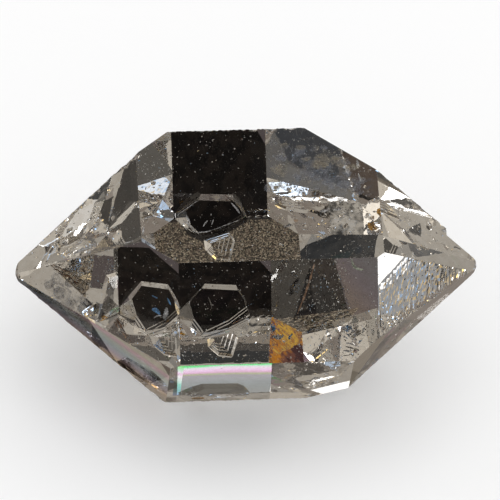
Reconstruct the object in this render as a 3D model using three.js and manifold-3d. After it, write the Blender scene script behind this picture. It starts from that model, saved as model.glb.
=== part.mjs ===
// A doubly terminated quartz crystal ("Herkimer diamond"), lying on one of its prism faces.
// Millimetres. +X runs along the crystal's c axis, +Z is up, and the origin is on the surface
// that the crystal lies on, below the middle of its bounding box.
//
// The crystal has six prism faces round the c axis and six pyramid faces at each end. A face is
// given by its distance from the crystal's centre, and the solid is what lies inside all of them.

import * as THREE from "three";
import { ConvexGeometry } from "three/addons/geometries/ConvexGeometry.js";
import { mergeVertices } from "three/addons/utils/BufferGeometryUtils.js";
import Module from "manifold-3d";

// Quartz: the angle between the c axis and the normal of a pyramid (rhombohedral) face.
const pyramidAngle = 51.79;

// The six directions round the c axis, in degrees from -Y (the front) towards +Z (up), and each
// face's distance from the centre, which sets how long and wide the faces are.
const faceRing = [
  { name: "top", turn: 90, prism: 5.14, right: 8.24, left: 7.5 },
  { name: "upperFront", turn: 30, prism: 6.51, right: 9.09, left: 7.46 },
  { name: "lowerFront", turn: -30, prism: 6.11, right: 7.99, left: 7.45 },
  { name: "bottom", turn: -90, prism: 6.31, right: 6.78, left: 7.79 },
  { name: "lowerBack", turn: -150, prism: 7.07, right: 6.43, left: 7.73 },
  { name: "upperBack", turn: 150, prism: 6.96, right: 7.46, left: 7.86 },
];

// The points of both ends are worn off a little.
const rightTip = 11.86;
const leftTip = 11.96;

// A growth ledge near the right tip: past it, the upper back pyramid face lies lower.
const ledge = { x: 10.36, face: "upperBack", drop: 0.36 };

// Imprints of small crystals that grew against this one. Each lowers the faces inside its
// outline, in shelves that follow each other inwards. An outline's corners lie on the crystal's
// surface, as (x, v) in a plane square to the direction `turn`, where v runs from the front to
// the back. From there the imprint's walls flare outwards by `flare` per millimetre of height.
const imprints = [
  {
    turn: -120,
    flare: 0.75,
    outline: [
      [-3.44, 1.16],
      [-2.06, 2.39],
      [-0.42, 2.28],
      [0.08, 1.62],
      [0.34, 0.68],
      [-0.78, -0.05],
      [-2.17, -0.58],
      [-2.87, 0.03],
    ],
    shelves: [
      { inset: 0, drops: { lowerBack: 0.12, bottom: 0.06 } },
      { inset: 0.18, drops: { lowerBack: 0.28, bottom: 0.13 } },
      { inset: 0.34, drops: { lowerBack: 0.42, bottom: 0.2 } },
    ],
  },
  {
    turn: -90,
    flare: 0.6,
    outline: [
      [-2.02, 2.88],
      [-0.66, 3.4],
      [-0.4, 2.78],
      [-0.74, 1.3],
      [-1.5, 1.46],
      [-2.0, 2.2],
    ],
    shelves: [
      { inset: 0, drops: { bottom: 0.1 } },
      { inset: 0.18, drops: { bottom: 0.2 } },
      { inset: 0.36, drops: { bottom: 0.32 } },
    ],
  },
];

const quartzLook = { color: 0xdedbd5, roughness: 0.05, metalness: 0 };

const columnSpan = [-1, 3]; // how far an imprint's column runs below and above the surface
const leastArm = 0.1; // keeps a column's corners from crossing at its foot
const insideSlack = 1e-6;

const wasm = await Module();
wasm.setup();

// The unit vector across the c axis at `turn` degrees from the front towards the top.
function ringDirection(turn) {
  const a = THREE.MathUtils.degToRad(turn);
  return new THREE.Vector3(0, -Math.cos(a), Math.sin(a));
}

// The planes of all 18 faces and of the two worn tips, with some faces lowered towards the centre.
function crystalPlanes(lowerBy = () => 0) {
  const lean = THREE.MathUtils.degToRad(pyramidAngle);
  const planes = [
    { normal: new THREE.Vector3(1, 0, 0), distance: rightTip },
    { normal: new THREE.Vector3(-1, 0, 0), distance: leftTip },
  ];
  for (const face of faceRing) {
    const across = ringDirection(face.turn);
    for (const [part, side] of [["prism", 0], ["right", 1], ["left", -1]]) {
      const normal = side
        ? across.clone().multiplyScalar(Math.sin(lean)).setX(side * Math.cos(lean))
        : across.clone();
      planes.push({ normal, distance: face[part] - lowerBy(face.name, part) });
    }
  }
  return planes;
}

// The point that three planes share, or null where two of them are parallel.
function meetingPoint(a, b, c) {
  const bc = new THREE.Vector3().crossVectors(b.normal, c.normal);
  const ca = new THREE.Vector3().crossVectors(c.normal, a.normal);
  const ab = new THREE.Vector3().crossVectors(a.normal, b.normal);
  const size = a.normal.dot(bc);
  if (Math.abs(size) < insideSlack) return null;
  return bc
    .multiplyScalar(a.distance)
    .addScaledVector(ca, b.distance)
    .addScaledVector(ab, c.distance)
    .divideScalar(size);
}

// The corners of the convex solid inside all the planes.
function solidCorners(planes) {
  const corners = [];
  for (let i = 0; i < planes.length; i++)
    for (let j = i + 1; j < planes.length; j++)
      for (let k = j + 1; k < planes.length; k++) {
        const p = meetingPoint(planes[i], planes[j], planes[k]);
        if (!p) continue;
        if (planes.every((q) => q.normal.dot(p) <= q.distance + insideSlack)) corners.push(p);
      }
  return corners;
}

function toSolid(geometry) {
  const bare = geometry.clone();
  bare.deleteAttribute("normal");
  bare.deleteAttribute("uv");
  const merged = mergeVertices(bare, 1e-5);
  return new wasm.Manifold(
    new wasm.Mesh({
      numProp: 3,
      vertProperties: merged.getAttribute("position").array,
      triVerts: new Uint32Array(merged.index.array),
    }),
  );
}

function toGeometry(solid) {
  const mesh = solid.getMesh();
  const shared = new THREE.BufferGeometry();
  shared.setAttribute("position", new THREE.BufferAttribute(mesh.vertProperties, mesh.numProp));
  shared.setIndex(new THREE.BufferAttribute(mesh.triVerts, 1));
  const flat = shared.toNonIndexed();
  flat.computeVertexNormals();
  return flat;
}

function crystalSolid(lowerBy) {
  return toSolid(new ConvexGeometry(solidCorners(crystalPlanes(lowerBy))));
}

// The height of the crystal's surface, along `normal`, over a point of the plane square to it.
function surfaceHeight(point, normal) {
  const heights = crystalPlanes()
    .filter((plane) => plane.normal.dot(normal) > insideSlack)
    .map((plane) => (plane.distance - plane.normal.dot(point)) / plane.normal.dot(normal));
  return Math.min(...heights);
}

// The flaring column that an imprint's outline sweeps, wide outside the crystal.
function imprintColumn({ turn, flare, outline }, inset) {
  const normal = ringDirection(turn);
  const across = new THREE.Vector3(1, 0, 0).cross(normal);
  const centre = new THREE.Vector2();
  outline.forEach(([x, v]) => centre.add(new THREE.Vector2(x, v)));
  centre.divideScalar(outline.length);

  // A point over the outline's plane, at a corner moved outwards by `grow`.
  const place = ([x, v], grow) => {
    const arm = new THREE.Vector2(x, v).sub(centre);
    arm.setLength(Math.max(arm.length() + grow, leastArm)).add(centre);
    return new THREE.Vector3(arm.x, 0, 0).addScaledVector(across, arm.y);
  };

  const corners = [];
  for (const corner of outline) {
    const height = surfaceHeight(place(corner, -inset), normal);
    for (const rise of columnSpan)
      corners.push(place(corner, rise * flare - inset).addScaledVector(normal, height + rise));
  }
  return toSolid(new ConvexGeometry(corners));
}

// What one shelf of an imprint takes away: the column, less the crystal with its faces lowered.
function shelfCut(imprint, { inset, drops }) {
  const lowered = crystalSolid((name, part) => (part === "prism" && drops[name]) || 0);
  return imprintColumn(imprint, inset).subtract(lowered);
}

// What the ledge takes away: all that lies past its riser and outside the lowered face.
function ledgeCut() {
  const isLowered = (name, part) => name === ledge.face && part === "right";
  const lowered = crystalSolid((name, part) => (isLowered(name, part) ? ledge.drop : 0));
  const size = 2 * rightTip;
  const block = new THREE.BoxGeometry(size, size, size);
  block.translate(ledge.x + size / 2, 0, 0);
  return toSolid(block).subtract(lowered);
}

function crystalGeometry() {
  let solid = crystalSolid();
  solid = solid.subtract(ledgeCut());
  for (const imprint of imprints)
    for (const shelf of imprint.shelves) solid = solid.subtract(shelfCut(imprint, shelf));
  return toGeometry(solid);
}

// Stands the crystal on its bottom prism face, over the middle of its bounding box.
function setDown(geometry) {
  geometry.computeBoundingBox();
  const middle = geometry.boundingBox.getCenter(new THREE.Vector3());
  geometry.translate(-middle.x, -middle.y, -geometry.boundingBox.min.z);
  return geometry;
}

const crystal = new THREE.Mesh(
  setDown(crystalGeometry()),
  new THREE.MeshStandardMaterial(quartzLook),
);
crystal.name = "crystal";

const herkimer = new THREE.Group();
herkimer.add(crystal);

export default herkimer;
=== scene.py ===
import math
import random

import bpy
from mathutils import Euler, Matrix, Vector


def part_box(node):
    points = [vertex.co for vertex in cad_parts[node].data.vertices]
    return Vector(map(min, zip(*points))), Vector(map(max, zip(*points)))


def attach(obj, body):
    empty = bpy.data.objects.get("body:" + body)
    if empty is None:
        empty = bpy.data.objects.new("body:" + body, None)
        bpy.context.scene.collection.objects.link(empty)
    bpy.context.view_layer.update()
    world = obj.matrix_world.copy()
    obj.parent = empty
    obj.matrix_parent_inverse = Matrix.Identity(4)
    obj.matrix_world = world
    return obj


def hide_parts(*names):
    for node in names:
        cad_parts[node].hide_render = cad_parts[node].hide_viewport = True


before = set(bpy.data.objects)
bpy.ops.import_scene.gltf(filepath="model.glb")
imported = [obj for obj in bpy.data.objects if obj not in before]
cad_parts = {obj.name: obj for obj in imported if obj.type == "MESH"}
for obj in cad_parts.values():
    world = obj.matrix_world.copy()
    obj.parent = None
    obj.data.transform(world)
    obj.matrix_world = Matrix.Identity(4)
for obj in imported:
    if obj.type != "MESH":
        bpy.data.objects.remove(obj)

# Pieces are modelled in millimetres round the crystal's centre, then put in the frame in metres.
mm = 0.001
alongAxis = Vector((1, 0, 0))
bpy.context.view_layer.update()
random.seed(24)

cutThreshold = 1e-5  # how near to a cut a corner counts as on it
onPlane = 1e-3  # how near to a face's plane a point counts as on it
sameWay = 0.9999  # the least dot product of two normals that count as one
facing = 1e-6  # the least dot product of two directions that face each other
sameMark = 0.1  # how near to a film's number a mark counts as it


def selectOnly(*pieces):
    bpy.ops.object.select_all(action="DESELECT")
    for piece in pieces:
        piece.select_set(True)
    bpy.context.view_layer.objects.active = pieces[0]


def editAll(piece):
    selectOnly(piece)
    bpy.ops.object.mode_set(mode="EDIT")
    bpy.ops.mesh.select_all(action="SELECT")


def leaveEdit():
    bpy.ops.object.mode_set(mode="OBJECT")


def removePiece(piece):
    mesh = piece.data
    bpy.data.objects.remove(piece)
    bpy.data.meshes.remove(mesh)


def cutAway(piece, cutter):
    selectOnly(piece)
    modifier = piece.modifiers.new("cut", "BOOLEAN")
    modifier.operation = "DIFFERENCE"
    modifier.solver = "EXACT"
    modifier.object = cutter
    bpy.ops.object.modifier_apply(modifier="cut")
    removePiece(cutter)


def copyPiece(piece, matrix):
    twin = piece.copy()
    twin.data = piece.data.copy()
    twin.data.transform(matrix)
    bpy.context.scene.collection.objects.link(twin)
    return twin


def joinPieces(pieces, name):
    selectOnly(*pieces)
    bpy.ops.object.join()
    pieces[0].name = name
    return pieces[0]


# A turned and stretched place for a small lump.
def lumpPlace(spot, sizes):
    turn = Euler([random.uniform(0, math.tau) for _ in range(3)])
    return Matrix.LocRotScale(spot, turn, Vector(sizes))


# The crystal: six faces round the c axis, each with a prism face and a pyramid face at both
# ends. A face is given by its distance from the centre.
crystal = {
    "pyramidAngle": 51.79,
    "faces": {
        "top": {"turn": 90, "prism": 5.14, "right": 8.24, "left": 7.5},
        "upperFront": {"turn": 30, "prism": 6.51, "right": 9.09, "left": 7.46},
        "lowerFront": {"turn": -30, "prism": 6.11, "right": 7.99, "left": 7.45},
        "bottom": {"turn": -90, "prism": 6.31, "right": 6.78, "left": 7.79},
        "lowerBack": {"turn": -150, "prism": 7.07, "right": 6.43, "left": 7.73},
        "upperBack": {"turn": 150, "prism": 6.96, "right": 7.46, "left": 7.86},
    },
    "rightTip": 11.86, "leftTip": 11.96, "tipWear": 0.07,
    "edgeWear": 0.05, "edgeSegments": 2,
    "ledgeX": 10.36, "ledgeFace": "upperBack", "ledgeDrop": 0.36,
    "blankSize": 34, "clearance": 1,
}


def ringDirection(turn):
    a = math.radians(turn)
    return Vector((0, -math.cos(a), math.sin(a)))


def faceNormal(name, part):
    across = ringDirection(crystal["faces"][name]["turn"])
    if part == "prism":
        return across
    lean = math.radians(crystal["pyramidAngle"])
    along = math.cos(lean) if part == "right" else -math.cos(lean)
    return across * math.sin(lean) + alongAxis * along


# A face's normal, its direction towards the right tip, and the one across that.
def faceAxes(name, part):
    normal = faceNormal(name, part)
    along = (alongAxis - normal * normal.x).normalized()
    return normal, along, normal.cross(along)


# A point on a face, or below it by depth, from its places along and across the face.
def facePoint(name, part, x, side, depth=0):
    normal, along, across = faceAxes(name, part)
    return normal * (crystal["faces"][name][part] - depth) + along * x + across * side


# A test for the parts of a mesh that lie on one of the crystal's faces.
def liesOn(name, part):
    normal, distance = faceNormal(name, part), crystal["faces"][name][part]

    def test(face):
        flat = face.normal.dot(normal) > sameWay
        return flat and abs(normal.dot(face.center) - distance) < onPlane

    return test


# The planes of all faces and of the blunt tips. Where drops lower some faces, the others are
# raised, so that what is cut with them never runs flush with the crystal.
def crystalPlanes(drops=None, part="prism"):
    rise = 0 if drops is None else crystal["clearance"]
    planes = [(alongAxis, crystal["rightTip"] + rise), (-alongAxis, crystal["leftTip"] + rise)]
    for name, face in crystal["faces"].items():
        for kind in ("prism", "right", "left"):
            drop = drops[name] if drops and kind == part and name in drops else -rise
            planes.append((faceNormal(name, kind), face[kind] - drop))
    return planes


def isInside(point, margin):
    return all(normal.dot(point) < distance - margin for normal, distance in crystalPlanes())


# Cuts a block down to what lies inside all the planes.
def cutBlock(name, size, centre, planes):
    bpy.ops.mesh.primitive_cube_add(size=size, location=centre)
    block = bpy.context.object
    block.name = name
    bpy.ops.object.transform_apply(location=True, rotation=False, scale=False)
    bpy.ops.object.mode_set(mode="EDIT")
    for normal, distance in planes:
        bpy.ops.mesh.select_all(action="SELECT")
        bpy.ops.mesh.bisect(plane_co=normal * distance, plane_no=normal, use_fill=True,
                            clear_outer=True, threshold=cutThreshold)
    leaveEdit()
    return block


# Cuts a line into the faces that pass the test, at a place along a direction.
def scoreFaces(piece, test, direction, place):
    editAll(piece)
    bpy.ops.mesh.select_all(action="DESELECT")
    leaveEdit()
    bpy.context.tool_settings.mesh_select_mode = (False, False, True)
    for face in piece.data.polygons:
        face.select = test(face)
    bpy.ops.object.mode_set(mode="EDIT")
    bpy.ops.mesh.bisect(plane_co=direction * place, plane_no=direction, threshold=cutThreshold)
    leaveEdit()


# Takes away what the cutter holds outside the crystal with some of its faces lowered.
def cutDown(body, cutter, planes):
    cutAway(cutter, cutBlock("lowered", crystal["blankSize"], (0, 0, 0), planes))
    cutAway(body, cutter)


# Imprints of small crystals that grew against this one: polygons on the crystal's lower back
# side, as (x, v) square to the direction turn. Each side has a wall that runs inwards by its
# slope for each millimetre of depth, and steps inwards by its share of the shelf's inset. A
# shelf lowers some faces, or has a floor of its own: its turn and distance from the centre.
imprints = {
    "large": {
        "turn": -120,
        "outline": [(-3.44, 1.16), (-2.06, 2.39), (-0.42, 2.28), (0.08, 1.62),
                    (0.34, 0.68), (-0.78, -0.05), (-2.17, -0.58), (-2.87, 0.03)],
        "slopes": [0.35, 1.1, 0.35, 0.2, 0.1, 0.14, 0.45, 0.6],
        "steps": [0.07, 0.06, 0.08, 0.15, 1, 1, 0.6, 0.1],
        "shelves": [(0, {"lowerBack": 0.2, "bottom": 0.05}, None),
                    (0.1, {}, (-133, 6.94)), (0.2, {}, (-133, 6.83)), (0.3, {}, (-133, 6.72))],
    },
    "small": {
        "turn": -90,
        "outline": [(-2.02, 2.88), (-0.66, 3.4), (-0.4, 2.78), (-0.74, 1.3),
                    (-1.5, 1.46), (-2.0, 2.2)],
        "slopes": [1.2, 0.85, 0.8, 0.45, 0.5, 1.0],
        "steps": [0.3, 0.3, 1, 1, 0.3, 0.06],
        "shelves": [(0, {"bottom": 0.14}, None), (0.19, {"bottom": 0.195}, None),
                    (0.36, {"bottom": 0.25}, None), (0.52, {"bottom": 0.305}, None)],
    },
}
cutterSize = 9


def pointedAlong(direction, arm):
    return -direction if direction.dot(arm) < 0 else direction


def surfaceHeight(point, normal):
    return min((distance - n.dot(point)) / n.dot(normal)
               for n, distance in crystalPlanes() if n.dot(normal) > facing)


def imprintCutter(imprint, inset):
    normal = ringDirection(imprint["turn"])
    across = alongAxis.cross(normal)
    corners = []
    for x, v in imprint["outline"]:
        foot = alongAxis * x + across * v
        corners.append(foot + normal * surfaceHeight(foot, normal))
    centre = sum(corners, Vector()) / len(corners)
    planes = []
    for i, corner in enumerate(corners):
        edge = corners[(i + 1) % len(corners)] - corner
        outwards = pointedAlong(edge.cross(normal).normalized(), corner - centre)
        wall = edge.cross(normal + outwards * imprint["slopes"][i]).normalized()
        wall = pointedAlong(wall, corner - centre)
        foot = corner - outwards * inset * imprint["steps"][i]
        planes.append((wall, wall.dot(foot)))
    return cutBlock("imprintCutter", cutterSize, centre, planes)


# Chips along the edges that two faces share: the part, the faces, how many, and their least and
# largest size.
edgeChips = [
    ("prism", "top", "upperBack", 26, 0.07, 0.2),
    ("left", "top", "upperBack", 34, 0.07, 0.26),
    ("left", "lowerFront", "bottom", 40, 0.08, 0.28),
    ("prism", "lowerFront", "bottom", 26, 0.08, 0.24),
    ("right", "lowerFront", "bottom", 24, 0.06, 0.2),
    ("right", "top", "upperBack", 22, 0.06, 0.2),
    ("prism", "bottom", "lowerBack", 12, 0.05, 0.16),
    ("left", "upperFront", "lowerFront", 12, 0.04, 0.1),
    ("prism", "upperFront", "lowerFront", 8, 0.04, 0.09),
]

# Larger nicks at the upper left corner and near the right tip, as places and sizes.
nicks = [((-5.8, 3.5, 5.05), 0.42), ((-6.2, 3.3, 4.75), 0.4), ((-6.6, 3.15, 4.45), 0.34),
         ((-7.6, 2.62, 3.6), 0.2), ((10.2, 0.35, 2.5), 0.2), ((11.0, 0, 1.9), 0.17)]

# Shallow pits on the faces: the face, how many, and their least and largest size.
facePits = [
    ("top", "prism", 34, 0.03, 0.1),
    ("top", "left", 16, 0.03, 0.12),
    ("top", "right", 14, 0.03, 0.12),
    ("upperFront", "prism", 20, 0.03, 0.08),
    ("upperFront", "left", 10, 0.03, 0.09),
    ("bottom", "prism", 24, 0.05, 0.16),
    ("lowerBack", "prism", 16, 0.04, 0.1),
    ("lowerFront", "prism", 10, 0.03, 0.1),
]

# The lumps that cut, for a size of 1. Their reach keeps the lumps of one cut apart.
lumps = {
    "roughness": 0.28,
    "chip": {"place": (0.1, 0.9), "out": (-0.05, 0.45), "length": (1, 2.2), "height": 0.9,
             "fineness": 2, "reach": 1.3},
    "nick": {"shape": (1.3, 1, 0.8), "reach": 1.7},
    "pit": {"shape": (1.4, 1, 1), "out": 0.75, "reach": 1.9},
}

# Limits, along and across, that hold every face.
anyAlong = (-13, 13)
anySide = (-7, 7)


def makeLump(name, seed):
    bpy.ops.mesh.primitive_ico_sphere_add(subdivisions=1, radius=1)
    lump = bpy.context.object
    lump.name = name
    editAll(lump)
    bpy.ops.transform.vertex_random(offset=lumps["roughness"], seed=seed)
    leaveEdit()
    return lump


# A random size. The higher the fineness, the more of them are small.
def randomSize(least, largest, fineness):
    return least + (largest - least) * random.random() ** fineness


def randomSpot(name, part, depth, margin, along=anyAlong, side=anySide):
    while True:
        spot = facePoint(name, part, random.uniform(*along), random.uniform(*side), depth)
        if isInside(spot, margin):
            return spot


# The two ends of the edge that two faces share, and the way out of the crystal there.
def edgeEnds(corners, part, names):
    sides = [(faceNormal(name, part), crystal["faces"][name][part]) for name in names]
    ends = [c for c in corners if all(abs(n.dot(c) - d) < onPlane for n, d in sides)]
    start = min(ends, key=lambda c: c.x)
    end = max(ends, key=lambda c: (c - start).length)
    return start, end, ((sides[0][0] + sides[1][0]) / 2).normalized()


# Cuts with copies of a lump, in batches of copies that don't touch each other.
def cutLumps(body, lump, places):
    batches = []
    for place, reach in places:
        for batch in batches:
            if all((place.translation - other.translation).length > reach + far
                   for other, far in batch):
                break
        else:
            batch = []
            batches.append(batch)
        batch.append((place, reach))
    for batch in batches:
        cutAway(body, joinPieces([copyPiece(lump, place) for place, _ in batch], "teeth"))


def chipCrystal(body, corners):
    chip, nick, pit = lumps["chip"], lumps["nick"], lumps["pit"]
    places = []
    for part, first, second, count, least, largest in edgeChips:
        start, end, outwards = edgeEnds(corners, part, (first, second))
        turn = (end - start).normalized().to_track_quat("X", "Z").to_euler()
        for i in range(count):
            size = randomSize(least, largest, chip["fineness"])
            spot = start.lerp(end, (i + random.uniform(*chip["place"])) / count)
            spot += outwards * size * random.uniform(*chip["out"])
            sizes = Vector((size * random.uniform(*chip["length"]), size, size * chip["height"]))
            places.append((Matrix.LocRotScale(spot, turn, sizes), sizes.x * chip["reach"]))
    for spot, size in nicks:
        place = lumpPlace(Vector(spot), [size * s for s in nick["shape"]])
        places.append((place, size * nick["reach"]))
    for name, part, count, least, largest in facePits:
        for _ in range(count):
            size = random.uniform(least, largest)
            spot = randomSpot(name, part, -size * pit["out"], -size)
            place = lumpPlace(spot, [size * s for s in pit["shape"]])
            places.append((place, size * pit["reach"]))
    tooth = makeLump("tooth", 3)
    cutLumps(body, tooth, places)
    removePiece(tooth)
    print("chips and pits:", len(body.data.polygons), "faces")


# Growth marks: a face is cut in cells whose corners are lowered a little, the lined share of it
# line by line and the rest corner by corner. Limits are along and across the face. The ground
# left of a slanting line, given by a point and a slope, stays clear.
growthMarks = {
    "rightLines": {"face": ("upperFront", "right"), "gap": (0.06, 0.13), "crossGap": 0.17,
                   "depth": 0.02, "lined": 0.4, "rim": 0.05, "along": (1.1, 7.6),
                   "side": (-4, 3), "clear": (1.15, 0.5, 1.49)},
    "leftGround": {"face": ("top", "left"), "gap": (0.6, 1.5), "crossGap": 1.1,
                   "depth": 0.025, "lined": 0.3, "rim": 0.2, "along": (-7.6, -3.2),
                   "side": (-1.5, 3.6)},
}


def isMarked(mark, x, side):
    clear = mark.get("clear")
    if clear and x < clear[0] + (side - clear[1]) * clear[2]:
        return False
    return (mark["along"][0] < x < mark["along"][1]) and mark["side"][0] < side < mark["side"][1]


def addGrowthMarks(body, mark):
    name, part = mark["face"]
    normal, along, across = faceAxes(name, part)
    distance = crystal["faces"][name][part]
    lines = []
    x = mark["along"][0]
    while x < mark["along"][1]:
        lines.append((along, x))
        x += random.uniform(*mark["gap"])
    side = mark["side"][0]
    while side < mark["side"][1]:
        lines.append((across, side))
        side += mark["crossGap"]
    for direction, place in lines:
        scoreFaces(body, liesOn(name, part), direction, place)

    drops = {}
    for vertex in body.data.vertices:
        spot = vertex.co
        x, side = spot.dot(along), spot.dot(across)
        if abs(normal.dot(spot) - distance) > onPlane or not isMarked(mark, x, side):
            continue
        if any(n.dot(spot) > d - mark["rim"] for n, d in crystalPlanes() if n != normal):
            continue
        line = drops.setdefault(round(x, 2), random.random())
        drop = line * mark["lined"] + random.random() * (1 - mark["lined"])
        vertex.co -= normal * mark["depth"] * drop
    print("growth marks:", name, part, len(lines), "lines")


# Planes that wear the corners of both tips round.
def tipPlanes(corners):
    planes = []
    for part, tip in (("right", alongAxis), ("left", -alongAxis)):
        for name in crystal["faces"]:
            normal = (tip + faceNormal(name, part)).normalized()
            planes.append((normal, max(normal.dot(c) for c in corners) - crystal["tipWear"]))
    return planes


# Cuts the borders of the films, bands of painted iridescence, on the lower front prism face into
# the mesh.
def cutFilmSheenBorders(body):
    filmSheen, strip = filmSheens[1], filmSheens[3]
    _, along, across = faceAxes(*filmSheen["face"])
    borders = [(along, x) for x in (*filmSheen["span"], strip["span"][0])]
    for direction, place in borders + [(across, filmSheen["foot"])]:
        scoreFaces(body, liesOn(*filmSheen["face"]), direction, place)


def cutImprints(body):
    for imprint in imprints.values():
        for inset, drops, floor in imprint["shelves"]:
            planes = crystalPlanes(drops)
            if floor:
                planes.append((ringDirection(floor[0]), floor[1]))
            cutDown(body, imprintCutter(imprint, inset), planes)
    print("imprints:", len(body.data.polygons), "faces")


# The crystal, and the matrix that puts it and what is in it in the frame.
def makeCrystal():
    size = crystal["blankSize"]
    blank = cutBlock("blank", size, (0, 0, 0), crystalPlanes())
    corners = [v.co.copy() for v in blank.data.vertices]
    low = Vector(map(min, zip(*corners)))
    high = Vector(map(max, zip(*corners)))
    removePiece(blank)
    body = cutBlock("crystalBody", size, (0, 0, 0), crystalPlanes() + tipPlanes(corners))

    editAll(body)
    bpy.ops.mesh.bevel(offset=crystal["edgeWear"], segments=crystal["edgeSegments"],
                       affect="EDGES", clamp_overlap=True)
    leaveEdit()
    print("worn edges:", len(body.data.polygons), "faces")

    for mark in growthMarks.values():
        addGrowthMarks(body, mark)
    cutFilmSheenBorders(body)
    block = cutBlock("ledgeBlock", size, (crystal["ledgeX"] + size / 2, 0, 0), [])
    cutDown(body, block, crystalPlanes({crystal["ledgeFace"]: crystal["ledgeDrop"]}, "right"))
    cutImprints(body)
    chipCrystal(body, corners)
    body = addHollows(body)
    markFilmSheens(body)

    nodeLow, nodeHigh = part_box("crystal")
    shift = (nodeLow + nodeHigh) / 2 / mm - (low + high) / 2
    shift.z = nodeLow.z / mm - low.z
    return body, Matrix.Scale(mm, 4) @ Matrix.Translation(shift)


# Thin hollows inside, as healed cracks leave: the face they are near, their limits along and
# across it and in depth, how many, and their sizes.
hollows = [
    ("top", "left", (-7.4, -3), (-1.6, 3.3), (0.25, 1.2), 16, (0.06, 0.2)),
    ("top", "left", (-7.0, -5.6), (0.2, 1.8), (0.3, 0.7), 5, (0.12, 0.26)),
    ("top", "prism", (-5.4, -3.9), (-1.6, 2.4), (0.2, 0.9), 9, (0.06, 0.18)),
    ("top", "prism", (1.2, 3), (-1.2, 0.6), (0.2, 0.7), 10, (0.05, 0.15)),
    ("top", "right", (2.3, 4.4), (-1.6, 0.4), (0.2, 0.8), 8, (0.06, 0.16)),
    ("lowerFront", "left", (-3.4, 0), (-3.4, -1), (0.2, 0.7), 6, (0.05, 0.15)),
    ("upperFront", "prism", (2.6, 2.85), (-3.0, -2.85), (0.3, 0.34), 1, (0.15, 0.16)),
]

# For a size of 1, as is the clearance to the faces.
hollowShape = {"length": 1.4, "thickness": (0.1, 0.5), "clearance": 1.9}


def addHollows(body):
    lump = makeLump("hollow", 8)
    shells = []
    for name, part, along, side, depth, count, limits in hollows:
        made = 0
        while made < count:
            size = random.uniform(*limits)
            spot = facePoint(name, part, random.uniform(*along), random.uniform(*side),
                             random.uniform(*depth))
            if not isInside(spot, size * hollowShape["clearance"]):
                continue
            thickness = size * random.uniform(*hollowShape["thickness"])
            sizes = (size * hollowShape["length"], size, thickness)
            shells.append(copyPiece(lump, lumpPlace(spot, sizes)))
            made += 1
    removePiece(lump)
    shells = joinPieces(shells, "hollows")
    editAll(shells)
    bpy.ops.mesh.flip_normals()
    leaveEdit()
    print("hollows:", len(shells.data.polygons), "faces")
    return joinPieces([body, shells], "crystalBody")


# Bands of the films, from the bottom to the top of each face, by their place across it: painted
# iridescence, colours laid on the glass in place of the rainbow that light makes there, which tint
# what is seen through it; the darker lower bands of the first are painted shade. A film covers a
# span of x above its foot. Its bands wave by bend, and sink by tilt per millimetre.
filmSheens = {
    1: {"face": ("lowerFront", "prism"), "span": (-3.6, 1.06), "foot": -2.3,
        "range": (-3, 4.8), "bend": 0.9, "tilt": 0, "bands": [
        (0.0, (0.1, 0.1, 0.1)), (0.25, (0.085, 0.1, 0.1)), (0.42, (0.1, 0.12, 0.13)),
        (0.53, (0.14, 0.15, 0.17)), (0.6, (0.16, 0.14, 0.18)), (0.65, (0.22, 0.26, 0.1)),
        (0.685, (0.62, 0.24, 0.46)), (0.73, (0.88, 0.4, 0.86)), (0.8, (0.93, 0.66, 0.92)),
        (0.84, (0.35, 0.85, 0.55)), (0.865, (0.03, 0.85, 0.1)), (0.92, (0.01, 0.45, 0.03))]},
    2: {"face": ("lowerFront", "left"), "span": (-12, 0), "foot": -9,
        "range": (-4, 3), "bend": 0.5, "tilt": 0, "bands": [
        (0.0, (0.6, 0.6, 0.6)), (0.25, (0.75, 0.5, 0.34)), (0.4, (0.46, 0.4, 0.6)),
        (0.55, (0.34, 0.46, 0.6)), (0.68, (0.4, 0.5, 0.5)), (0.8, (0.68, 0.4, 0.56)),
        (0.9, (0.56, 0.58, 0.46)), (1.0, (0.5, 0.42, 0.38))]},
    3: {"face": ("lowerFront", "prism"), "span": (-3.98, -3.6), "foot": -2.3,
        "range": (-3, 4.8), "bend": 0.4, "tilt": 1.2, "bands": [
        (0.0, (0.1, 0.3, 0.06)), (0.1, (0.14, 0.16, 0.5)), (0.26, (0.06, 0.3, 0.36)),
        (0.44, (0.1, 0.55, 0.4)), (0.56, (0.6, 0.85, 0.8)), (0.64, (0.95, 0.85, 0.95)),
        (0.72, (0.85, 0.4, 0.8)), (0.78, (0.8, 0.9, 0.95)), (0.84, (0.3, 0.9, 0.4)),
        (0.92, (0.05, 0.7, 0.06))]},
}


# Marks the faces that carry a film of painted iridescence with the film's number.
def markFilmSheens(body):
    mark = body.data.attributes.new("filmSheen", "FLOAT", "FACE")
    for number, filmSheen in filmSheens.items():
        isOnFace, across = liesOn(*filmSheen["face"]), faceAxes(*filmSheen["face"])[2]
        for face in body.data.polygons:
            inSpan = filmSheen["span"][0] < face.center.x < filmSheen["span"][1]
            if inSpan and isOnFace(face) and across.dot(face.center) > filmSheen["foot"]:
                mark.data[face.index].value = number


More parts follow.
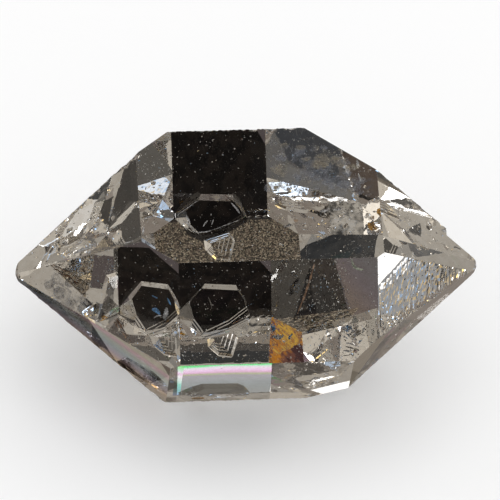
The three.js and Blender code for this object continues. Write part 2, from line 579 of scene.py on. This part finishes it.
# Dust and tiny flecks just under the faces: the face, how many, least and largest size. Specks,
# here and below, are tone, size and share.
dust = {
    "depth": 0.09, "clearance": 0.85,
    "length": (0.8, 1.6), "squash": 0.6, "fineness": 3.5,
    "tone": (0.7, 0.68, 0.64), "roughness": 0.8,
    "specks": [((0.42, 0.37, 0.3), 0.5, 0.22), ((0.85, 0.85, 0.8), 0.3, 0.2),
               ((0.4, 0.6, 0.8), 0.7, 0.15)],
    "faces": [
        ("top", "prism", 900, 0.006, 0.05),
        ("upperFront", "prism", 760, 0.006, 0.045),
        ("upperFront", "left", 260, 0.006, 0.04),
        ("top", "left", 140, 0.006, 0.04),
        ("top", "right", 130, 0.006, 0.035),
        ("upperFront", "right", 40, 0.006, 0.03),
        ("lowerFront", "left", 160, 0.006, 0.04),
        ("lowerFront", "prism", 90, 0.006, 0.03),
    ],
    # Thicker dust on a part of a face, between limits along and across.
    "patches": [
        ("upperFront", "prism", (2.2, 5), (-2.6, 2.2), 300, 0.022, 0.06),
        ("upperFront", "prism", (-4.6, 1), (-3.2, -1.6), 160, 0.01, 0.035),
        ("top", "prism", (1.2, 6.2), (0.4, 4.4), 360, 0.01, 0.035),
        ("top", "prism", (-5.7, -3.6), (1.6, 3.9), 70, 0.026, 0.07),
    ],
}


def makeDust():
    grain = makeLump("grain", 5)
    grains = []
    places = [(name, part, anyAlong, anySide, *rest) for name, part, *rest in dust["faces"]]
    clearance = dust["depth"] * dust["clearance"]
    for name, part, along, side, count, least, largest in places + dust["patches"]:
        for _ in range(count):
            spot = randomSpot(name, part, dust["depth"], clearance, along, side)
            size = randomSize(least, largest, dust["fineness"])
            sizes = (size * random.uniform(*dust["length"]), size, size * dust["squash"])
            grains.append(copyPiece(grain, lumpPlace(spot, sizes)))
    removePiece(grain)
    print("dust:", len(grains), "grains")
    return joinPieces(grains, "dust")


# Wisps of haze under the top face, on the right: flat flecks that a noise fades out.
veil = {
    "along": (1.3, 5.9), "side": (0.5, 4.3), "depth": (0.15, 1.1), "clearance": 1.2,
    "wisps": (46, (0.15, 0.5)), "flecks": (90, (0.015, 0.05)),
    "tilt": 0.2, "length": (1, 2), "thickness": 0.06,
    "tone": (0.42, 0.45, 0.52), "roughness": 0.7,
    "specks": [((0.62, 0.55, 0.42), 1.4, 0.25)],
    "noise": {"Scale": 1.6 / mm, "Detail": 6.0, "Roughness": 0.7},
    "fade": (0.4, 0.85), "opacity": 0.85,
}


def makeVeil():
    lump = makeLump("wisp", 11)
    pieces = []
    for count, limits in (veil["wisps"], veil["flecks"]):
        made = 0
        while made < count:
            x, side = random.uniform(*veil["along"]), random.uniform(*veil["side"])
            spot = facePoint("top", "prism", x, side, random.uniform(*veil["depth"]))
            size = random.uniform(*limits)
            if not isInside(spot, size * veil["clearance"]):
                continue
            tilts = [random.uniform(-veil["tilt"], veil["tilt"]) for _ in range(2)]
            turn = Euler((*tilts, random.uniform(0, math.tau)))
            length = size * random.uniform(*veil["length"])
            scale = Vector((length, size, size * veil["thickness"]))
            pieces.append(copyPiece(lump, Matrix.LocRotScale(spot, turn, scale)))
            made += 1
    removePiece(lump)
    print("veil:", len(pieces), "wisps and flecks")
    return joinPieces(pieces, "veil")


# Thin threads and cracks just under the faces, and white, blue and orange strokes there that are
# painted glints. Each line has two ends, by their places along and across the face, a bow and a
# radius.
threads = {
    "tanThread": {"tone": (0.62, 0.38, 0.24), "faces": [
        ("upperFront", "prism", [((3.17, 1.9), (2.25, -0.75), 0.06, 0.042)])]},
    "paleThread": {"tone": (0.75, 0.82, 0.66), "faces": [
        ("upperFront", "prism", [((5.08, 2.1), (5.72, 1.5), -0.2, 0.06)])]},
    "fineCrack": {"tone": (0.5, 0.46, 0.4), "faces": [
        ("upperFront", "prism", [((-2.3, 0.3), (-2.14, -0.34), 0.05, 0.016)])]},
    # Painted highlights: white glints and lit edges, as strokes just under the faces.
    "paintedWhiteGlints": {"tone": (0.95, 0.95, 0.96), "faces": [
        ("upperFront", "left", [
            ((0.22, -0.32), (0.0, -0.95), 0.04, 0.1), ((-0.62, -1.0), (-0.12, -0.8), 0.05, 0.03)]),
        ("lowerFront", "prism", [
            ((-3.2, -2.5), (-2.3, -2.6), 0, 0.14), ((-0.85, -2.6), (0.1, -2.65), 0, 0.12)]),
        ("lowerFront", "left", [
            ((-2.3, -2.3), (-1.75, -2.6), 0, 0.07), ((-1.5, -2.75), (-0.9, -3.0), 0, 0.05)]),
        ("top", "left", [
            ((-5.6, -0.95), (-4.4, -1.2), 0.1, 0.09), ((-4.42, 0.0), (-3.88, 0.23), 0.05, 0.06)]),
        ("top", "prism", [
            ((-5.28, 0.01), (-4.88, -0.22), 0.03, 0.05),
            ((-4.73, -0.23), (-4.54, -0.68), 0.03, 0.035),
            ((-5.4, -1.19), (-4.92, -1.02), 0, 0.05)]),
        ("top", "left", [((-2.3, -2.25), (-1.75, -2.42), -0.05, 0.035)]),
        ("top", "prism", [
            ((-5.52, -2.35), (-5.42, -1.8), 0, 0.035), ((-3.4, -1.38), (-2.78, -2.32), 0.05, 0.03),
            ((-2.78, -2.32), (-1.95, -2.2), -0.04, 0.035), ((-1.95, -2.2), (-0.5, -1.5), 0, 0.018),
            ((-2.38, -1.9), (-2.12, -1.48), 0.03, 0.03), ((-1.95, -1.8), (-1.82, -1.4), 0, 0.025),
            ((-0.85, -0.25), (-0.45, -1.05), 0.03, 0.045),
            ((-3.22, -1.05), (-3.05, -1.6), 0, 0.045), ((-3.65, -1.0), (-2.5, 0.05), 0, 0.016)])]},
    # Painted highlights: blue-white glints, as strokes just under the upper front left face.
    "paintedBlueGlints": {"tone": (0.22, 0.5, 0.88), "faces": [
        ("upperFront", "left", [
            ((-0.72, -0.55), (-0.2, -0.72), 0.06, 0.1), ((-0.7, 0.18), (-0.36, 0.1), 0, 0.03),
            ((0.26, 0.2), (0.48, -0.16), 0, 0.04)])]},
    # Painted highlight: an orange glint near the bottom of the lower front face.
    "paintedOrangeGlints": {"tone": (0.95, 0.5, 0.06), "faces": [
        ("lowerFront", "prism", [((-2.95, -3.1), (-2.28, -3.15), 0, 0.17)])]},
}

# Each line is a flattened rod whose width ripples. Headroom is the most that it rises, as a share
# of its depth, and shade is the tone of its specks, as a share of its own.
rod = {
    "depth": 0.11, "headroom": 0.6, "squash": 0.5, "sides": 7, "slices": 16,
    "endWidth": 0.25, "ripple": 0.3, "ripples": 31,
    "roughness": 0.6, "shade": 0.45, "specks": (0.2, 0.3),
}


def makeThread(face, part, start, end, bow, radius):
    bpy.ops.mesh.primitive_cylinder_add(vertices=rod["sides"], radius=1, depth=1)
    piece = bpy.context.object
    editAll(piece)
    for i in range(1, rod["slices"]):
        bpy.ops.mesh.select_all(action="SELECT")
        bpy.ops.mesh.bisect(plane_co=(0, 0, i / rod["slices"] - 0.5), plane_no=(0, 0, 1))
    leaveEdit()
    normal = faceNormal(face, part)
    first, last = (facePoint(face, part, *spot, rod["depth"]) for spot in (start, end))
    wide = normal.cross(last - first).normalized()
    for vertex in piece.data.vertices:
        t = vertex.co.z + 0.5
        swell = rod["endWidth"] + math.sin(math.pi * t) ** 0.5
        taper = radius * swell * (1 + rod["ripple"] * math.sin(rod["ripples"] * t))
        middle = first.lerp(last, t) + wide * bow * math.sin(math.pi * t)
        rise = min(vertex.co.y * taper * rod["squash"], rod["depth"] * rod["headroom"])
        vertex.co = middle + wide * vertex.co.x * taper + normal * rise
    editAll(piece)
    bpy.ops.mesh.normals_make_consistent(inside=False)
    leaveEdit()
    return piece


# Gives a node's inputs their values, or links them to other nodes' outputs.
def setInputs(node, inputs):
    for key, value in inputs.items():
        if isinstance(value, bpy.types.NodeSocket):
            node.id_data.links.new(value, node.inputs[key])
        else:
            node.inputs[key].default_value = value


def addNode(tree, kind, inputs=None, **settings):
    node = tree.nodes.new("ShaderNode" + kind)
    for key, value in settings.items():
        setattr(node, key, value)
    setInputs(node, inputs or {})
    return node


def addMath(tree, operation, *values):
    return addNode(tree, "Math", dict(enumerate(values)), operation=operation).outputs[0]


def addDot(tree, place, direction):
    inputs = {0: place, 1: direction}
    return addNode(tree, "VectorMath", inputs, operation="DOT_PRODUCT").outputs["Value"]


# Spreads a value from low to high over 0 to most, or over 0 to 1 with soft ends.
def addRange(tree, value, low, high, most=1.0, kind="LINEAR"):
    inputs = {"Value": value, "From Min": low, "From Max": high, "To Max": most}
    return addNode(tree, "MapRange", inputs, interpolation_type=kind).outputs["Result"]


def addSoftEdge(tree, value, low, high):
    return addRange(tree, value, low, high, kind="SMOOTHSTEP")


def addObjectPlace(tree):
    return addNode(tree, "TexCoord").outputs["Object"]


def addNoise(tree, noise):
    return addNode(tree, "TexNoise", {"Vector": addObjectPlace(tree), **noise}).outputs["Fac"]


def mixColours(tree, factor, first, second):
    inputs = {"Factor": factor, "A": first, "B": second}
    return addNode(tree, "Mix", inputs, data_type="RGBA").outputs["Result"]


def addRamp(tree, factor, stops):
    ramp = addNode(tree, "ValToRGB", {"Fac": factor})
    elements = ramp.color_ramp.elements
    while len(elements) < len(stops):
        elements.new(0.5)
    for element, (position, tone) in zip(elements, stops):
        element.position = position
        element.color = (*tone, 1)
    return ramp.outputs["Color"]


def newMaterial(name):
    material = bpy.data.materials.new(name)
    material.use_nodes = True
    return material, material.node_tree, material.node_tree.nodes["Principled BSDF"]


# A mask that is 1 on irregular specks, where a noise is above an edge. A larger share lowers it.
speckle = {"noise": {"Detail": 4.0, "Roughness": 0.6}, "edge": 0.72, "blur": 0.08}


def makeSpeckleGroup():
    group = bpy.data.node_groups.new("speckle", "ShaderNodeTree")
    for name, way, kind in (("Vector", "INPUT", "Vector"), ("Size", "INPUT", "Float"),
                            ("Share", "INPUT", "Float"), ("Mask", "OUTPUT", "Float")):
        group.interface.new_socket(name, in_out=way, socket_type="NodeSocket" + kind)
    given = group.nodes.new("NodeGroupInput").outputs
    scale = addMath(group, "DIVIDE", 1.0, given["Size"])
    noise = addNode(group, "TexNoise",
                    {"Vector": given["Vector"], "Scale": scale, **speckle["noise"]})
    edge = addMath(group, "SUBTRACT", speckle["edge"], given["Share"])
    mask = addSoftEdge(group, noise.outputs["Fac"], edge,
                       addMath(group, "ADD", edge, speckle["blur"]))
    setInputs(group.nodes.new("NodeGroupOutput"), {"Mask": mask})


def addSpeckle(tree, size, share):
    inputs = {"Vector": addObjectPlace(tree), "Size": size * mm, "Share": share}
    group = bpy.data.node_groups["speckle"]
    return addNode(tree, "Group", inputs, node_tree=group).outputs["Mask"]


# A tone with layers of specks over it.
def speckledTone(tree, tone, specks):
    colour = (*tone, 1)
    for speckTone, size, share in specks:
        colour = mixColours(tree, addSpeckle(tree, size, share), colour, (*speckTone, 1))
    return colour


def speckledMaterial(name, look):
    material, tree, shader = newMaterial(name)
    setInputs(shader, {"Base Color": speckledTone(tree, look["tone"], look["specks"]),
                       "Roughness": look["roughness"]})
    return material


# Clear quartz: a little hazy in patches, with tiny frosted specks and a slight wave of its faces,
# and with the painted iridescence and shade of the films.
quartz = {
    "ior": 1.5485,
    "clear": (0.985, 0.98, 0.97),
    "haze": [((0.9, 0.88, 0.85), 0.4, 0.25)],
    "frost": (0.05, 0.02), "frostRoughness": 0.25,
    "wave": {"Scale": 1 / (1.2 * mm), "Detail": 2.0}, "waveHeight": 0.002,
    "filmSheenWave": {"Scale": 0.35 / mm, "Detail": 3.0},
    "smoke": {"Color": (0.75, 0.7, 0.62, 1), "Density": 8},
}


# Lays the films over a colour: painted iridescence and shade, in bands by the place across the
# face, a little wavy.
def addFilmSheens(tree, colour, shift):
    place = addObjectPlace(tree)
    marked = addNode(tree, "Attribute", attribute_name="filmSheen").outputs["Fac"]
    wave = addNoise(tree, quartz["filmSheenWave"])
    x = addNode(tree, "SeparateXYZ", {"Vector": place}).outputs["X"]
    for number, filmSheen in filmSheens.items():
        side = faceAxes(*filmSheen["face"])[2]
        bent = addMath(tree, "MULTIPLY_ADD", wave, filmSheen["bend"], addDot(tree, place, side / mm))
        sunk = addMath(tree, "MULTIPLY_ADD", x, filmSheen["tilt"] / mm, bent)
        offset = side.dot(shift) / mm + filmSheen["bend"] * 0.5  # the noise's mean is a half
        offset += filmSheen["tilt"] * (shift.x / mm + filmSheen["span"][0])
        spread = addRange(tree, sunk, *(limit + offset for limit in filmSheen["range"]))
        here = addMath(tree, "COMPARE", marked, number, sameMark)
        colour = mixColours(tree, here, colour, addRamp(tree, spread, filmSheen["bands"]))
    return colour


def quartzMaterial(shift):
    material, tree, shader = newMaterial("clearQuartz")
    bump = addNode(tree, "Bump", {"Height": addNoise(tree, quartz["wave"]), "Strength": 1.0,
                                  "Distance": quartz["waveHeight"] * mm})
    setInputs(shader, {
        "Base Color": addFilmSheens(tree, speckledTone(tree, quartz["clear"], quartz["haze"]), shift),
        "Roughness": addMath(tree, "MULTIPLY", addSpeckle(tree, *quartz["frost"]),
                             quartz["frostRoughness"]),
        "Normal": bump.outputs["Normal"],
        "IOR": quartz["ior"],
        "Transmission Weight": 1,
    })
    smoke = addNode(tree, "VolumeAbsorption", quartz["smoke"])
    setInputs(tree.nodes["Material Output"], {"Volume": smoke.outputs["Volume"]})
    return material


def veilMaterial():
    material = speckledMaterial("whiteVeil", veil)
    tree = material.node_tree
    alpha = addRange(tree, addNoise(tree, veil["noise"]), *veil["fade"], veil["opacity"])
    setInputs(tree.nodes["Principled BSDF"], {"Alpha": alpha})
    return material


def threadMaterial(name, tone):
    shade = [c * rod["shade"] for c in tone]
    return speckledMaterial(name, {"tone": tone, "specks": [(shade, *rod["specks"])],
                                   "roughness": rod["roughness"]})


# The tent: a mid grey sky with soft panels. A panel has an azimuth (from +Y towards +X), an
# elevation, a radius and a softness in degrees, a brightness, and a warmth (below 0 is cool).
panels = {
    "backMiddle": (4, 46, 9, 4, 0.36, 1),
    "backHole": (3.85, 44.6, 0.8, 0.3, 0.03, 0),
    "backHigh": (-27, 55, 9, 5, 1.1, 1),
    "backTop": (-33, 73, 8, 5, 0.52, 1),
    "backTopSpot": (-33, 73.5, 2, 1, 2.6, 0),
    "backTopWarm": (-69, 74, 3, 1.5, 0.55, 1.5),
    "backLow": (3, 5, 6, 4, 1.25, 0),
    "backRightLow": (46, 7, 5, 3, 0.55, 1),
    "backRightHorizon": (40, 1, 3, 2, 0.55, 1),
    "backLeftLow": (-44, 11, 6, 4, 0.5, 1),
    "backLeftHorizon": (-35, 1, 5, 3, 0.19, 2),
    "rightHalo": (110, 47, 10, 6, 0.45, 1),
    "rightHigh": (114, 60, 8, 5, 0.66, 1),
    "rightTop": (81, 67, 6, 4, 1.9, 0),
    "rightLow": (103, 14, 9, 5, 0.26, 1),
    "rightHorizon": (130, 4, 6, 4, 0.08, 1),
    "rightBoxWarm": (94.5, 26.5, 4, 2, 0.7, 4),
    "rightBoxCool": (94.5, 35.5, 4, 2, 0.8, -4),
    "rightBox": (94.5, 31, 4, 2, 1.7, 0),
    "leftHalo": (-82, 21, 9, 5, 0.58, 1.2),
    "leftDim": (-76, 11, 4, 2, 0.3, 1),
    "leftLow": (-104, 9, 8, 5, 0.33, 1),
    "leftHigh": (-124, 62, 15, 8, 0.52, 1),
    "leftBoxWarm": (-98, 26, 4, 3, 0.6, 4),
    "leftBoxCool": (-98, 36, 4, 3, 0.7, -4),
    "leftBox": (-98, 31, 5, 3, 1.8, 0),
    "frontLeftMid": (-120, 43, 8, 5, 0.5, 1.2),
    "frontLeftLow": (-139, 14, 9, 5, 0.05, -1),
    "frontLeftFar": (-158, 6, 10, 5, 0.2, 0.5),
    "frontLeftSpot": (-154, 9, 2.5, 1.5, 0.06, -1),
    "frontLeftHigh": (-158, 42, 9, 5, 0.22, 0.5),
    "lensHood": (172, 27, 13, 5, 0.015, -2),
    "lensFoot": (177, 13, 5, 3, 0.04, 0),
    "rightFlag": (148, 20, 7, 4, 0.08, 1),
    "rightFoot": (154, 12, 4, 2, 0.1, 1),
    "rightGlint": (167, 20, 1.2, 0.6, 1.5, 0),
    "frontHigh": (170, 57, 10, 5, 0.3, 1),
    "frontRight": (149, 31, 4, 2, 0.62, 0.5),
    "lensGlow": (-173, 8, 3, 2, 2.2, -2),
    "rightCool": (114, 56.5, 3.5, 2, 1.0, -1),
    "leftWhite": (-66, 54, 3, 2, 4, 0),
    "lineGlow": (114, 69, 5, 3, 0.33, -0.5),
    "tintWarm": (121, 73, 2.5, 1.5, 0.6, 5),
    "tintCool": (130, 69, 2.5, 1.5, 0.5, -4),
    "tintGold": (98, 69, 2.5, 1.5, 0.55, 4),
    "tintBlue": (104, 63, 2.5, 1.5, 0.6, -4),
    "tintDark": (124, 74, 2.5, 1.5, 0.08, -3),
    "tintDim": (136, 62, 4, 2, 0.1, -2),
}

studio = {
    "paper": 0.92, "tent": (0.36, 1), "bounces": 32,
    "warmRed": 0.08, "warmBlue": 0.12,
    # Panels with a cool lobe above and a warm lobe below: how far off, as a share of the radius,
    # how bright and how warm.
    "fringed": ["backTopSpot", "rightTop", "lensGlow", "leftWhite", "rightCool", "frontRight",
                "backLow"],
    "fringe": {"shift": 0.45, "share": 0.7, "warmth": 5},
    # Rows of small lamps: first and last azimuth, elevation, spacing, brightness.
    "lampRows": [(34, 86, 15, 10, 5), (14, 84, 26, 10, 6), (28, 78, 50, 10, 6),
                 (20, 74, 78, 18, 5), (-66, -14, 22, 9, 5), (-64, -8, 34, 9, 6),
                 (-72, -16, 67.5, 12, 6), (-150, -92, 71, 14, 5)],
    "lampRadius": 1.3, "lampEdge": (1.3, 0.8),
    "lampFringe": {"shift": 2.3, "share": 0.3, "warmth": 5},
}


def panelTone(brightness, warmth):
    red, blue = 1 + studio["warmRed"] * warmth, 1 - studio["warmBlue"] * warmth
    return (brightness * red, brightness, brightness * blue, 1)


def panelDirection(azimuth, elevation):
    a, e = math.radians(azimuth), math.radians(elevation)
    return Vector((math.sin(a) * math.cos(e), math.cos(a) * math.cos(e), math.sin(e)))


# The panels in order, each with its fringes before it.
def panelLobes():
    fringe = studio["fringe"]
    lobes = []
    for name, panel in panels.items():
        if name in studio["fringed"]:
            azimuth, elevation, radius, softness, brightness, _ = panel
            for way in (1, -1):
                height = elevation + way * radius * fringe["shift"]
                lobes.append((azimuth, height, radius, softness, brightness * fringe["share"],
                              -way * fringe["warmth"]))
        lobes.append(panel)
    return lobes


# Adds the lamps to the sky, each with a warm fringe below and a cool one above.
def addLamps(tree, direction, sky):
    split = addNode(tree, "SeparateXYZ", {"Vector": direction}).outputs
    azimuth = addMath(tree, "DEGREES", addMath(tree, "ARCTAN2", split["X"], split["Y"]))
    elevation = addMath(tree, "DEGREES", addMath(tree, "ARCSINE", split["Z"]))
    radius, fringe = studio["lampRadius"], studio["lampFringe"]
    outer, inner = (radius * share for share in studio["lampEdge"])
    for first, last, height, spacing, brightness in studio["lampRows"]:
        middle, half = (first + last) / 2, (last - first) / 2 + spacing / 2
        centred = addMath(tree, "SUBTRACT", azimuth, middle)
        inRow = addMath(tree, "COMPARE", centred, 0.0, half)
        across = addMath(tree, "WRAP", centred, spacing / 2, -spacing / 2)
        across = addMath(tree, "MULTIPLY", across, math.cos(math.radians(height)))
        across = addMath(tree, "MULTIPLY", across, across)
        for way, share in ((-1, fringe["share"]), (1, fringe["share"]), (0, 1)):
            rise = addMath(tree, "SUBTRACT", elevation, height + way * fringe["shift"])
            reach = addMath(tree, "SQRT", addMath(tree, "MULTIPLY_ADD", rise, rise, across))
            lit = addMath(tree, "MULTIPLY", addSoftEdge(tree, reach, outer, inner), inRow)
            tone = panelTone(brightness * share, -way * fringe["warmth"])
            sky = mixColours(tree, lit, sky, tone)
    return sky


def makeTent():
    world = bpy.data.worlds.new("tent")
    bpy.context.scene.world = world
    world.use_nodes = True
    world.cycles.sampling_method = "NONE"
    tree = world.node_tree
    direction = addNode(tree, "TexCoord").outputs["Generated"]
    sky = panelTone(*studio["tent"])
    for azimuth, elevation, radius, softness, brightness, warmth in panelLobes():
        reach = addDot(tree, direction, panelDirection(azimuth, elevation))
        outer, inner = (math.cos(math.radians(radius + way * softness)) for way in (1, -1))
        edge = addSoftEdge(tree, reach, outer, inner)
        sky = mixColours(tree, edge, sky, panelTone(brightness, warmth))
    background = tree.nodes["Background"]
    setInputs(background, {"Color": addLamps(tree, direction, sky)})

    # The camera, and all that is matt, see plain pale paper instead of the panels.
    paper = addNode(tree, "Background", {"Color": (*[studio["paper"]] * 3, 1)})
    path = addNode(tree, "LightPath").outputs
    either = addNode(tree, "Math", {0: path["Is Camera Ray"], 1: path["Diffuse Depth"]},
                     operation="ADD", use_clamp=True)
    mix = addNode(tree, "MixShader", {0: either.outputs[0], 1: background.outputs[0],
                                      2: paper.outputs[0]})
    setInputs(tree.nodes["World Output"], {"Surface": mix.outputs[0]})


# Boards below the crystal, seen only through it: glowing cards whose tones paint the ground there
# with its light and shade. In millimetres: a disc, a rectangle from its limits in x and y, or an
# outline.
boards = {
    "farBoard": {"height": -0.07, "tone": (0.24, 0.21, 0.185), "radius": 420, "sides": 64},
    "amberBoard": {"height": -0.065,
                   "outline": [(-60, -40), (-16, -30), (-4, -90), (-10, -140), (-60, -120)],
                   "stains": {"Scale": 1 / (22 * mm), "Detail": 5.0, "Distortion": 2.0},
                   "stainTones": [
                       (0.3, (0.06, 0.03, 0.03)), (0.4, (0.16, 0.07, 0.05)),
                       (0.45, (0.5, 0.2, 0.02)), (0.48, (0.16, 0.08, 0.04)),
                       (0.52, (0.58, 0.34, 0.05)), (0.55, (0.2, 0.11, 0.07)),
                       (0.6, (0.09, 0.055, 0.08)), (0.65, (0.75, 0.5, 0.14))]},
    "nearBoard": {"height": -0.06, "tone": (0.082, 0.068, 0.068), "x": (-6, 12), "y": (3.5, 12)},
    "rightBoard": {"height": -0.066, "tone": (0.05, 0.05, 0.055), "x": (17, 31), "y": (-2.5, 3)},
    "leftBoard": {"height": -0.067, "tone": (0.05, 0.045, 0.04),
                  "outline": [(-130, -58), (-80, -36), (-80, -24), (-130, -40)]},
    # Painted shadow: the crystal's cast shadow on the ground, near black.
    "castShadowBoard": {"height": -0.05, "tone": (0.0035, 0.0025, 0.002),
                   "specks": [((0.009, 0.0065, 0.005), 0.8, 0.26)],
                   "outline": [(-14, 9), (0.65, 9), (3.92, 3.48), (4.6, 1.5), (4.2, -2),
                               (1, -8), (-14, -8)]},
    "cornerBoard": {"height": -0.045, "tone": (0.065, 0.052, 0.045),
                    "x": (-13, -6.2), "y": (-6.4, -3.8)},
    "frontBoard": {"height": -0.04, "tone": (0.24, 0.21, 0.18), "x": (-5.5, 7), "y": (-8, 0.2)},
    "dimBoard": {"height": -0.035, "tone": (0.06, 0.054, 0.05), "x": (-3, 2.6), "y": (-3.32, -2.2)},
    "footBoard": {"height": -0.034, "tone": (0.08, 0.068, 0.062),
                  "x": (4.7, 6.7), "y": (-4.2, -2.8)},
    # Painted shade: black under the large imprint, where its hollow lies in shadow.
    "pitShadeBoard": {"height": -0.01, "tone": (0.0035, 0.0025, 0.002),
                 "outline": [(0.45, 4.0), (0.35, 3.75), (-0.75, 2.95), (-2.1, 2.4),
                             (-2.8, 2.95), (-3.2, 4.0)]},
    # Painted light: the ground under the resting face, lit through the crystal, with its own grain.
    "litContactBoard": {"height": -0.02, "tone": (0.07, 0.05, 0.036),
                     "specks": [((0.012, 0.009, 0.006), 0.22, 0.29),
                                ((0.26, 0.21, 0.15), 0.1, 0.2),
                                ((0.9, 0.8, 0.56), 0.06, 0.1)],
                     "x": (-5.5, 4), "y": (0.2, 3.9)},
}


def boardMaterial(name, board):
    material, tree, shader = newMaterial(name)
    if "stains" in board:
        glow = addRamp(tree, addNoise(tree, board["stains"]), board["stainTones"])
    else:
        glow = speckledTone(tree, board["tone"], board.get("specks", []))
    setInputs(shader, {"Base Color": (0, 0, 0, 1), "Specular IOR Level": 0,
                       "Emission Color": glow, "Emission Strength": 1})
    return material


def boardOutline(board):
    if "x" in board:
        (left, right), (near, far) = board["x"], board["y"]
        return [(left, near), (right, near), (right, far), (left, far)]
    return board.get("outline")


def makeBoard(name, board):
    outline = boardOutline(board)
    bpy.ops.mesh.primitive_circle_add(vertices=len(outline) if outline else board["sides"],
                                      radius=1, fill_type="NGON")
    piece = bpy.context.object
    piece.name = name
    for i, vertex in enumerate(piece.data.vertices):
        x, y = outline[i] if outline else vertex.co.xy * board["radius"]
        vertex.co = Vector((x, y, board["height"])) * mm
    piece.data.materials.append(boardMaterial(name, board))
    piece.visible_camera = False
    piece.visible_diffuse = False
    piece.visible_shadow = False


floorPlan = {"size": 6, "drop": 0.08, "tone": (0.9, 0.9, 0.9), "roughness": 0.9}


def makeFloor():
    bpy.ops.mesh.primitive_plane_add(size=floorPlan["size"],
                                     location=(0, 0, -floorPlan["drop"] * mm))
    floor = bpy.context.object
    floor.name = "floor"
    bpy.ops.object.transform_apply(location=True, rotation=False, scale=False)
    material, _, shader = newMaterial("paleFloor")
    setInputs(shader, {"Base Color": (*floorPlan["tone"], 1),
                       "Roughness": floorPlan["roughness"]})
    floor.data.materials.append(material)
    floor.visible_glossy = False
    floor.visible_transmission = False


# A soft lamp above that lights only what is matt, in metres.
softKey = {"size": 1.2, "energy": 2.5, "place": (0.25, 0.1, 0.9)}


def makeKey():
    light = bpy.data.lights.new("softKey", "AREA")
    light.shape = "DISK"
    light.size = softKey["size"]
    light.energy = softKey["energy"]
    key = bpy.data.objects.new("softKey", light)
    bpy.context.scene.collection.objects.link(key)
    key.location = softKey["place"]
    key.rotation_euler = (-key.location).to_track_quat("-Z", "Y").to_euler()
    key.visible_glossy = False
    key.visible_transmission = False
    key.visible_camera = False


def makeStudio():
    scene = bpy.context.scene
    scene.view_settings.view_transform = "Standard"
    scene.cycles.max_bounces = studio["bounces"]
    scene.cycles.glossy_bounces = studio["bounces"]
    scene.cycles.transmission_bounces = studio["bounces"]
    makeTent()
    makeFloor()
    for name, board in boards.items():
        makeBoard(name, board)
    makeKey()
    print("studio:", len(panels), "panels,", len(boards), "boards")


# The camera: what it looks at, from where in degrees and millimetres, and its lens.
view = {
    "target": Vector((0.289, 0.257, 6.991)),
    "azimuth": 4.16, "elevation": 45.18, "roll": 1.249, "distance": 479.3,
    "lens": 664.8, "clip": (0.01, 10),
}


def makeCamera():
    camera = bpy.data.objects.new("camera", bpy.data.cameras.new("camera"))
    bpy.context.scene.collection.objects.link(camera)
    camera.data.lens = view["lens"]
    camera.data.clip_start, camera.data.clip_end = view["clip"]
    turn = Euler((math.radians(90 - view["elevation"]), 0, -math.radians(view["azimuth"])))
    turn = turn.to_matrix().to_4x4() @ Matrix.Rotation(math.radians(view["roll"]), 4, "Z")
    back = turn @ Vector((0, 0, view["distance"]))
    camera.matrix_world = Matrix.Translation((view["target"] + back) * mm) @ turn
    bpy.context.scene.camera = camera


def finishPiece(piece, material, toFrame):
    piece.data.transform(toFrame)
    piece.data.materials.clear()
    piece.data.materials.append(material)
    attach(piece, "root")


makeSpeckleGroup()
body, toFrame = makeCrystal()
finishPiece(body, quartzMaterial(toFrame.translation), toFrame)
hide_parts("crystal")
finishPiece(makeDust(), speckledMaterial("paleDust", dust), toFrame)
finishPiece(makeVeil(), veilMaterial(), toFrame)
for name, thread in threads.items():
    rods = [makeThread(face, part, *line) for face, part, lines in thread["faces"]
            for line in lines]
    finishPiece(joinPieces(rods, name), threadMaterial(name, thread["tone"]), toFrame)
print("pieces in the crystal: done")

makeStudio()
makeCamera()
